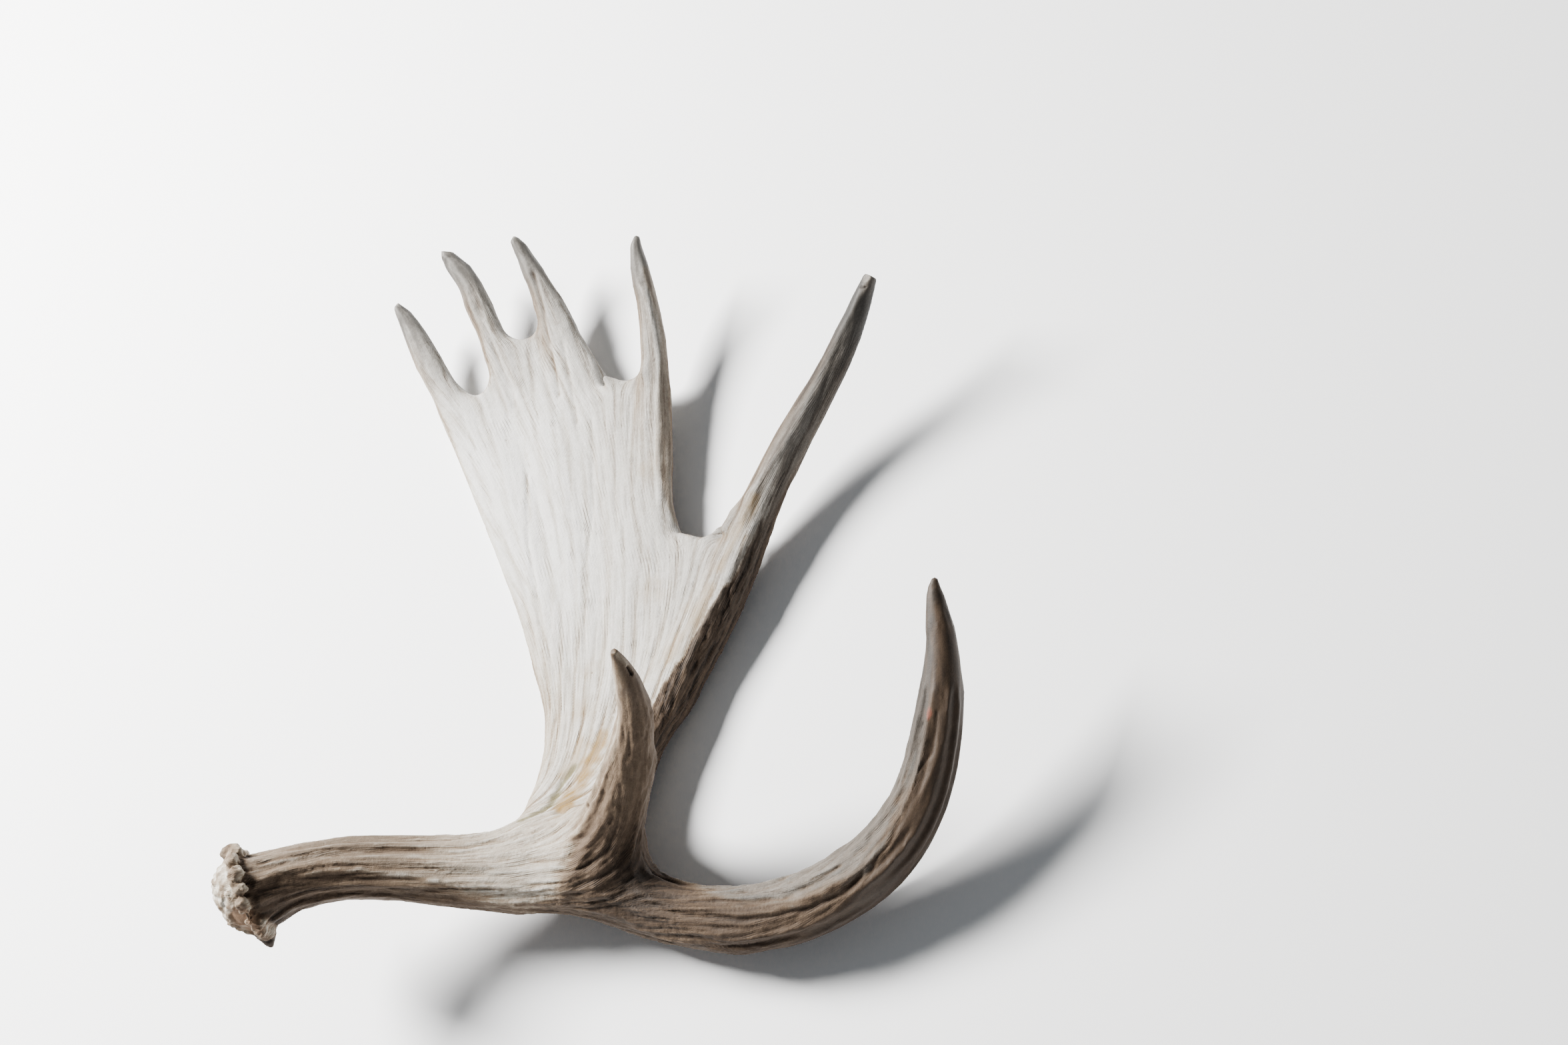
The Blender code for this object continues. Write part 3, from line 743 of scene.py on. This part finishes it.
def thin_out(piece):
    """Thins the piece out to the most faces that it may have, mostly where it is flat."""
    faces = sum(len(face.vertices) - 2 for face in piece.data.polygons)
    if faces > MOST_FACES:
        thin = piece.modifiers.new("thin", "DECIMATE")
        thin.ratio = MOST_FACES / faces
        apply_modifiers(piece)


def value_of(nodes, name):
    """An attribute of the skin, as a shader value."""
    node = nodes.new("ShaderNodeAttribute")
    node.attribute_name = name
    return node.outputs["Fac"]


def sum_of(tree, first, second, share):
    """first + share * second."""
    node = tree.nodes.new("ShaderNodeMath")
    node.operation = "MULTIPLY_ADD"
    tree.links.new(second, node.inputs[0])
    node.inputs[1].default_value = share
    tree.links.new(first, node.inputs[2])
    return node.outputs[0]


def tint(tree, amount, colour, colours):
    """The colours, turned to the colour by the amount."""
    node = tree.nodes.new("ShaderNodeMix")
    node.data_type = "RGBA"
    tree.links.new(amount, node.inputs["Factor"])
    tree.links.new(colours, node.inputs["A"])
    node.inputs["B"].default_value = (*colour, 1)
    return node.outputs["Result"]


GREY_BONE = (  # weathering of the bare parts: from bleached chalk to dark grey
    (0.00, (0.56, 0.552, 0.535)),
    (0.20, (0.37, 0.358, 0.335)),
    (0.40, (0.195, 0.183, 0.165)),
    (0.55, (0.106, 0.098, 0.087)),
    (0.75, (0.048, 0.043, 0.037)),
    (1.00, (0.016, 0.014, 0.011)),
)
BROWN_BONE = (  # and of the stained parts: from cream to dark brown
    (0.00, (0.56, 0.535, 0.49)),
    (0.20, (0.385, 0.342, 0.275)),
    (0.40, (0.220, 0.170, 0.118)),
    (0.55, (0.130, 0.086, 0.051)),
    (0.75, (0.062, 0.037, 0.020)),
    (1.00, (0.020, 0.012, 0.007)),
)


def make_bone():
    """Weathered antler: the tone, which holds both stains and painted shade, picks a place between chalk and
    dark bone, and noise breaks it up.
    """
    material = bpy.data.materials.new("weathered_antler")
    material.use_nodes = True
    tree = material.node_tree
    nodes, links = tree.nodes, tree.links
    surface = nodes["Principled BSDF"]
    place = nodes.new("ShaderNodeTexCoord").outputs["Object"]

    def noise(scale, detail, roughness=0.5):
        node = nodes.new("ShaderNodeTexNoise")
        links.new(place, node.inputs["Vector"])
        node.inputs["Scale"].default_value = scale
        node.inputs["Detail"].default_value = detail
        node.inputs["Roughness"].default_value = roughness
        centred = nodes.new("ShaderNodeMath")
        centred.operation = "SUBTRACT"
        links.new(node.outputs["Fac"], centred.inputs[0])
        centred.inputs[1].default_value = 0.5
        return centred.outputs[0]

    side = nodes.new("ShaderNodeAttribute")
    side.attribute_name = "side"

    def threads(scale, frequency, gain):
        """Stripes along the growth, about 0: across it they swing, and along it they fade in and out."""
        node = nodes.new("ShaderNodeTexGabor")
        node.gabor_type = "3D"
        links.new(place, node.inputs["Vector"])
        links.new(side.outputs["Vector"], node.inputs["Orientation"])
        node.inputs["Scale"].default_value = scale
        node.inputs["Frequency"].default_value = frequency
        node.inputs["Anisotropy"].default_value = 1
        centred = nodes.new("ShaderNodeMath")
        centred.operation = "MULTIPLY_ADD"
        links.new(node.outputs["Value"], centred.inputs[0])
        centred.inputs[1].default_value = gain
        centred.inputs[2].default_value = -gain / 2
        return centred.outputs[0]

    def step_up(value, low, high):
        """A smooth step from 0 to 1."""
        node = nodes.new("ShaderNodeMapRange")
        node.interpolation_type = "SMOOTHSTEP"
        links.new(value, node.inputs["Value"])
        node.inputs["From Min"].default_value = low
        node.inputs["From Max"].default_value = high
        return node.outputs["Result"]

    def ramp_of(value, colours):
        node = nodes.new("ShaderNodeValToRGB")
        links.new(value, node.inputs["Fac"])
        steps = node.color_ramp.elements
        while len(steps) < len(colours):
            steps.new(0.5)
        for step, (position, colour) in zip(steps, colours):
            step.position = position
            step.color = (*colour, 1)
        return node.outputs["Color"]

    mottle = noise(55, 4)
    cloud = noise(210, 3, 0.6)
    speck = noise(900, 3, 0.6)
    thread = threads(90, 8, 6)
    strand = threads(38, 9, 6)
    cracks = step_up(sum_of(tree, thread, strand, 0.6), 1.0, 2.2)
    tone = sum_of(tree, value_of(nodes, "tone"), mottle, 0.10)
    tone = sum_of(tree, tone, cloud, 0.13)
    tone = sum_of(tree, tone, speck, 0.18)
    streaky = sum_of(tree, sum_of(tree, cracks, thread, 0.18), strand, 0.18)
    uneven = nodes.new("ShaderNodeMath")
    uneven.operation = "MULTIPLY"
    links.new(streaky, uneven.inputs[0])
    links.new(value_of(nodes, "threads"), uneven.inputs[1])
    tone = sum_of(tree, tone, uneven.outputs[0], 0.26)
    warm = nodes.new("ShaderNodeMix")
    warm.data_type = "RGBA"
    links.new(value_of(nodes, "warm"), warm.inputs["Factor"])
    links.new(ramp_of(tone, GREY_BONE), warm.inputs["A"])
    links.new(ramp_of(tone, BROWN_BONE), warm.inputs["B"])
    colours = warm.outputs["Result"]
    colours = tint(tree, value_of(nodes, "amber"), (0.19, 0.112, 0.028), colours)
    colours = tint(tree, value_of(nodes, "olive"), (0.115, 0.10, 0.045), colours)
    colours = tint(tree, value_of(nodes, "chip"), (0.215, 0.135, 0.082), colours)
    colours = tint(tree, value_of(nodes, "blush"), (0.30, 0.06, 0.035), colours)
    links.new(colours, surface.inputs["Base Color"])
    surface.inputs["Specular IOR Level"].default_value = 0.3

    gloss = sum_of(tree, value_of(nodes, "polish"), value_of(nodes, "groove"), -0.5)
    roughness = nodes.new("ShaderNodeMapRange")
    links.new(gloss, roughness.inputs["Value"])
    roughness.inputs["To Min"].default_value = 0.78
    roughness.inputs["To Max"].default_value = 0.6
    links.new(roughness.outputs["Result"], surface.inputs["Roughness"])

    relief = sum_of(tree, noise(1500, 2), noise(420, 3), 1.2)
    relief = sum_of(tree, relief, uneven.outputs[0], -1.0)
    calm = nodes.new("ShaderNodeMapRange")
    links.new(value_of(nodes, "polish"), calm.inputs["Value"])
    calm.inputs["To Min"].default_value = 1
    calm.inputs["To Max"].default_value = 0.3
    calmer = nodes.new("ShaderNodeMath")
    calmer.operation = "MULTIPLY"
    links.new(relief, calmer.inputs[0])
    links.new(calm.outputs["Result"], calmer.inputs[1])
    bump = nodes.new("ShaderNodeBump")
    bump.inputs["Strength"].default_value = 0.5
    bump.inputs["Distance"].default_value = 0.0006
    links.new(calmer.outputs[0], bump.inputs["Height"])
    links.new(bump.outputs["Normal"], surface.inputs["Normal"])
    return material


def add_camera():
    """The camera, where it stood for the picture as the antler sees it."""
    data = bpy.data.cameras.new("camera")
    data.sensor_width = SENSOR
    data.lens = FOCUS / PICTURE[0] * SENSOR
    data.clip_start = 0.01
    camera = bpy.data.objects.new("camera", data)
    bpy.context.scene.collection.objects.link(camera)
    turn = LAY.to_3x3().normalized() @ Matrix.Rotation(math.pi / 2 + EYE_PITCH, 3, "X")
    camera.matrix_world = Matrix.Translation(LAY @ Vector(EYE)) @ turn.to_4x4()
    bpy.context.scene.camera = camera


def add_floor():
    """A plain pale floor."""
    bm = bmesh.new()
    bmesh.ops.create_grid(bm, x_segments=1, y_segments=1, size=6)
    mesh = bpy.data.meshes.new("floor")
    bm.to_mesh(mesh)
    bm.free()
    floor = add_object("floor", mesh)
    material = bpy.data.materials.new("pale_floor")
    material.use_nodes = True
    surface = material.node_tree.nodes["Principled BSDF"]
    surface.inputs["Base Color"].default_value = (0.93, 0.935, 0.945, 1)
    surface.inputs["Roughness"].default_value = 0.9
    mesh.materials.append(material)


def add_window(name, direction, power, size, colour):
    """A soft square light that shines on the antler from that direction of the upright frame."""
    data = bpy.data.lights.new(name, "AREA")
    data.shape = "SQUARE"
    data.size = size
    data.energy = power
    data.color = colour
    light = bpy.data.objects.new(name, data)
    bpy.context.scene.collection.objects.link(light)
    middle = LAY @ Vector((-100, 0, 250))
    away = (LAY.to_3x3().normalized() @ Vector(direction)).normalized()
    light.location = middle + 2.6 * away
    light.rotation_euler = away.to_track_quat("Z", "Y").to_euler()


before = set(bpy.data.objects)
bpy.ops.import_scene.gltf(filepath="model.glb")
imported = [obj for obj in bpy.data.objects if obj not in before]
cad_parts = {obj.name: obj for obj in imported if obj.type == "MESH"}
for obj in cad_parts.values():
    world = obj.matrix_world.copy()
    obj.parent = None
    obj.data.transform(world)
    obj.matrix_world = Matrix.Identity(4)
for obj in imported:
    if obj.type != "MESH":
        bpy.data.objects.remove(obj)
cad_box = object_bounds()
rng = np.random.default_rng(SEED)
nodes = [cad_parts[name] for name in SLOTS]
coarse = voxel_skin(nodes, COARSE_VOXEL)
coarse.relax(COARSE_RELAX)
coarse.shown = picture_place(coarse.points)
skin = voxel_skin(nodes, VOXEL)
skin.relax(RELAX)
skin.raise_by(np.full(len(skin.points), -SWELL))
skin.shown = picture_place(skin.points)
for place_pulled in PULLS:
    pull(skin, *place_pulled)
for place_pulled in PALM_PULLS:
    pull(skin, *place_pulled, rise(0, 30, skin.points[:, 1]))
skin.measure()
skin.shown = picture_place(skin.points)

# The webs and the ends of the rows of beads are evened out. Then the worn tips are cut flat.
web_gap = np.full(len(skin.points), np.inf)
for curve, _ in WEBS:
    web_gap = np.minimum(web_gap, distance_to_path(skin.points, [spot(skin, place, 12) for place in curve]))
skin.soften(WEB_SOFTEN, rise(11, 3, web_gap))
skin.soften(BLEND_SOFTEN, rise(24, 15, web_gap) * rise(1, 6, web_gap))
row_ends = np.zeros(len(skin.points))
last_sections = [row[-1] for row in FULL_TIPS if row[-1][2] > BROAD_SECTION]
for across, down, size in last_sections + list(LIPS):
    gap = np.linalg.norm(skin.shown[0] - (across, down), axis=1) / size
    row_ends = np.maximum(row_ends, rise(1.9, 1.1, gap))
skin.soften(BLEND_SOFTEN, row_ends)
broken = {name: rise(0, 0.5, break_off(skin, *flat)) for name, flat in BREAKS.items()}
skin.measure()
skin.shown = picture_place(skin.points)

# The growth field is solved on the coarse skin and carried over to the fine one.
tips = {name: spot(skin, place) for name, place in TIPS.items()}
age = growth(coarse, tips.values())
way = unit(slope(coarse, age))
age = carry_over(coarse, skin, age)
way = carry_over(coarse, skin, way)
way = unit(way - (way * skin.normals).sum(axis=1, keepdims=True) * skin.normals)
broad, ridge, lump, fine = grain(skin, way, rng, GRAIN)
fine = skin.smooth(fine, 2)
fine /= fine.std()
bead = skin.smooth(rng.standard_normal(len(skin.points)), 8)
bead /= bead.std()
wander = skin.smooth(rng.standard_normal(len(skin.points)), 42)
wander /= wander.std()

# Where each kind of surface is, from 0 to 1.
points, normals = skin.points, skin.normals
x, y, z = points.T
to_tip = {name: np.linalg.norm(points - tip, axis=1) for name, tip in tips.items()}
burr_offset = points - np.array(BURR)
past_burr = burr_offset @ unit(np.array(BURR_AXIS))
at_burr = x < -370
on_palm = rise(95, 140, z + 0.45 * y) * rise(0, 26, y)
palm_side = on_palm * rise(0.25, 0.75, normals @ unit(np.array((0.80, 0.1, -0.55))))
on_front = rise(88, 115, z) * rise(8, -8, y + 0.1 * (z - 100)) * rise(-40, -70, x)
on_brow = rise(-90, -40, x) * rise(6, -14, y)
on_beam = np.clip(1 - on_palm - on_front - on_brow, 0, 1)
near_tip = np.zeros(len(points))
for name, reach in WORN_TIPS.items():
    near_tip = np.maximum(near_tip, rise(reach, 0.3 * reach, to_tip[name]))

# Where the picture shows the surface, the masks follow the picture. Elsewhere they follow the way it faces.
facing = -unit(points - np.array(EYE))
seen = rise(-0.25, 0.25, (normals * facing).sum(axis=1))
drift = np.stack([10 * broad, 6 * wander], axis=1)
# The brown side is partly the bone's own stain and partly painted shade: on the front tine it darkens the
# side turned from the light.
brown_front = within(skin.shown[0] + 0.3 * drift, BROWN_AND_SHADED_SIDE, 60) - 0.05 * lump - 0.05 * ridge
brown_front = rise(0.0, 0.8, brown_front)
# Where the camera doesn't see the surface, the sides turned down and away from the window are painted
# darker, partly stain and partly painted shade.
brown_back = rise(0.45, -0.35, normals @ unit(np.array((-0.35, -0.25, 0.9))))
brown = (1 - on_palm) * (seen * brown_front + (1 - seen) * brown_back)
# The rim: where unseen, the palm's side turned right and down, away from the light.
rim_front = within(skin.shown[0] + 0.3 * drift, RIM_SIDE, 8)
on_rim = on_palm * (seen * rim_front + (1 - seen) * palm_side * rise(430, 380, z))
deep_rim = on_rim * rise(640, 890, skin.shown[0][:, 1])
fourth_side = on_palm * seen * within(skin.shown[0] + 0.2 * drift, FOURTH_SIDE, 8)
# The long brow tine's outer side is worn smooth, and it is painted darker, partly its own brown and partly
# painted shade where it turns away from the light.
outer_front = within(skin.shown[0] + 0.4 * drift, BROW_OUTER, 34)
outer_back = rise(-0.2, 0.5, normals @ unit(np.array((0.75, 0.1, -0.55))))
brow_outer = on_brow * rise(-60, 0, x) * (seen * outer_front + (1 - seen) * outer_back)

# Relief, in millimetres.
lower = rise(0.2, -0.5, normals[:, 2])
brow_worn = brow_outer * rise(-20, 60, x)
rough = (0.13 + 0.20 * rise(330, 160, z)) * on_palm + 0.56 * on_beam + 0.27 * on_front
rough += (0.36 + 0.34 * rise(40, -40, x)) * on_brow
rough = np.maximum(rough, 0.6 * deep_rim) * (1 - 0.8 * near_tip) * (1 - 0.9 * brow_worn)
lumpy = 0.05 * on_palm + 0.35 * on_beam + 0.70 * on_front + 0.50 * on_brow
lumpy = np.maximum(lumpy, 0.8 * deep_rim) * (1 - 0.9 * near_tip) * (1 - 0.95 * brow_worn)
beaded = 1.6 * on_front * rise(240, 150, z) + lower * on_beam * rise(-300, -200, x) + 0.7 * deep_rim
beaded = np.clip(beaded, 0, 1.6)
crest = np.minimum(broad, 0.7 + 0.25 * (broad - 0.7))
small_crest = np.minimum(ridge, 0.6 + 0.3 * (ridge - 0.6))
height = rough * (0.50 * crest + 0.60 * small_crest + 0.16 * fine) + 0.36 * lumpy * lump
height += rough * beaded * 0.35 * np.minimum(bead, 0.9)
for line in LINES.values():
    height += carve(skin, line, 0.5 * wander)
pearls = pearl_field(skin)
ring = at_burr * rise(-1.6, 0.1, pearls) * rise(-9, -4, past_burr) * rise(16, 8, past_burr)
height += ring * (0.7 * np.maximum(pearls, -0.7) + 0.45 * bead + 0.3 * lump)
seat = at_burr * rise(-3, -8, past_burr) * (1 - rise(-1.2, -0.2, pearls))
height += seat * (0.45 * bead + 0.25 * skin.smooth(rng.standard_normal(len(points)), 1))
chip = seen * at_burr * within(skin.shown[0] + 0.3 * drift, CHIP, 12)
height = height * (1 - 0.7 * chip) - CHIP_DEPTH * chip
pits = np.maximum(stain(skin, PITS, 0), band(skin, HOLES, 0))
height -= pits
skin.raise_by(height)
keep_inside(skin, cad_box)

# Stains and painted shade: how far the surface is painted from chalk to dark brown, by weathering and, on
# the sides that turn from the light, by painted shade; and the coloured marks.
hollow = skin.smooth(height, 16) - height
groove = rise(0.1, 0.7, hollow)
worn_crest = rise(0.1, 0.6, -hollow)
palm_facing = np.abs(normals @ np.array(PALM_FACING))
thin_edge = on_palm * rise(0.75, 0.3, palm_facing)
grey = np.zeros(len(points))
for name, (reach, strength) in TINE_GREY.items():
    grey = np.maximum(grey, strength * np.clip((reach - to_tip[name]) / reach, 0, 1))
grey *= on_palm
dark_streaks = rise(0.0, 1.8, -broad)
thin_streaks = rise(0.3, 1.8, -ridge)
# The long brow tine is painted darker towards its tip and on its outer side, partly its own brown and partly
# painted shade where it curves away from the light.
brow_along = rise(330, 40, to_tip["brow"])
inner_brow = 0.49 + 0.22 * brow_along
pale_beam = 0.56 - 0.26 * rise(560, 780, skin.shown[0][:, 0])
base = on_palm * (0.06 + grey + 0.19 * rise(360, 180, z) + 0.14 * thin_edge)
# The brown side, partly stain and partly painted shade, darkens the beam, the front tine and the brow tine.
base += on_beam * (pale_beam + (0.70 - pale_beam) * brown)
base += on_front * (0.34 + 0.29 * brown)
base += on_brow * (inner_brow + (0.74 - inner_brow) * brown * (1 - brow_outer))
base += brow_outer * (0.84 - inner_brow)
base += (0.86 - base) * on_brow * rise(170, 60, to_tip["brow"])
# The palm's rim is painted dark, partly its own rough brown bone and partly painted shade on the side turned
# away from the light.
base = np.maximum(base, 0.62 * on_rim + 0.22 * deep_rim)
# The fourth tine's side is painted darker, partly for its tan colour and partly as painted shade where it
# turns from the light.
base = np.maximum(base, 0.47 * fourth_side)
# Darker places, some of them painted shade where the antler lies in shadow.
for place, radius, darker in PAINTED_SHADE_AND_DARK_SPOTS:
    base += darker * np.exp(-((np.linalg.norm(points - spot(skin, place), axis=1) / radius) ** 2))
foot = rise(330, 160, z)
tone = base + (0.13 + 0.06 * foot) * on_palm * (dark_streaks - 0.3)
tone += (0.08 + 0.10 * grey + 0.06 * foot) * on_palm * (thin_streaks - 0.2) + 0.02 * fine
tone += groove * (0.15 + 0.09 * on_palm - 0.11 * on_front - 0.05 * on_brow) * (1 - 0.6 * brow_worn)
tone -= 0.16 * worn_crest * (on_beam + 0.2 * on_front + 0.3 * on_brow) * (1 - brow_worn)
burr_tone = (0.62 - 0.42 * pearls - tone) * ring + (0.30 + 0.12 * bead - tone) * seat
tone = np.where(at_burr, tone + burr_tone, tone)
# A painted highlight: the facet by the front tine's tip is painted pale.
on_tip_highlight = band(skin, FRONT_TIP_HIGHLIGHT, 0)
tone += (0.47 - tone) * broken["edge_facet"] + (0.34 - tone) * on_tip_highlight + 0.04 * lump * near_tip
tone = np.clip(tone + 0.3 * pits, 0, 1.1)
ragged = 0.7 * wander + 0.6 * ridge
amber = np.maximum(stain(skin, AMBER, ragged), band(skin, AMBER_BANDS, ragged))
branches = 0.25 * on_brow + 0.8 * on_beam + 0.9 * on_front + 0.9 * at_burr * (ring + seat)
warm = brown + 0.8 * brow_outer + 0.6 * deep_rim + branches
warm += 0.5 * thin_edge * (1 - near_tip) + 0.5 * fourth_side + 0.4 * groove - 0.3 * worn_crest
warm += on_palm * (1 - near_tip) * (0.10 + 0.4 * foot + 0.4 * dark_streaks * (1 - grey))
streaked = 0.5 - 0.25 * on_palm - 0.32 * on_front - 0.2 * on_brow
streaked += (0.7 - 0.5 * on_front - 0.3 * on_brow) * dark_streaks
streaked += 0.4 * rise(0, 1.5, wander) + 0.2 * grey + 0.4 * on_rim + 0.3 * foot * on_palm
turn = np.array(LAY.to_3x3().normalized()).T
values = {
    "tone": tone,
    "groove": groove,
    "amber": (1 - on_rim) * (0.8 + 0.2 * np.clip(ridge, -1, 1)) * amber,
    "olive": band(skin, OLIVE_BANDS, ragged),
    "blush": stain(skin, [BLUSH], ridge),
    "chip": chip,
    "polish": np.clip(near_tip + brow_worn, 0, 1),
    "warm": 0.88 * np.clip(warm, 0, 1),
    "threads": (1 - near_tip) * (1 - 0.7 * brow_worn) * streaked,
    "side": unit(np.cross(normals, skin.smooth(way, 60))) @ turn,
    "rounding": skin.normals @ turn,
}

material = make_bone()
pieces = split(skin, values)
for name, mesh in pieces.items():
    piece = add_object(f"dressed_{name}", mesh)
    thin_out(piece)
    dress(piece.data, material)
    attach(piece, "root")
    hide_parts(name)

add_camera()
add_floor()
add_window("window", (-0.86, -0.25, 0.43), 450, 0.9, (1.0, 0.985, 0.96))
world = bpy.data.worlds.new("room")
world.use_nodes = True
world.node_tree.nodes["Background"].inputs["Color"].default_value = (0.9, 0.95, 1.0, 1)
world.node_tree.nodes["Background"].inputs["Strength"].default_value = 0.22
bpy.context.scene.world = world
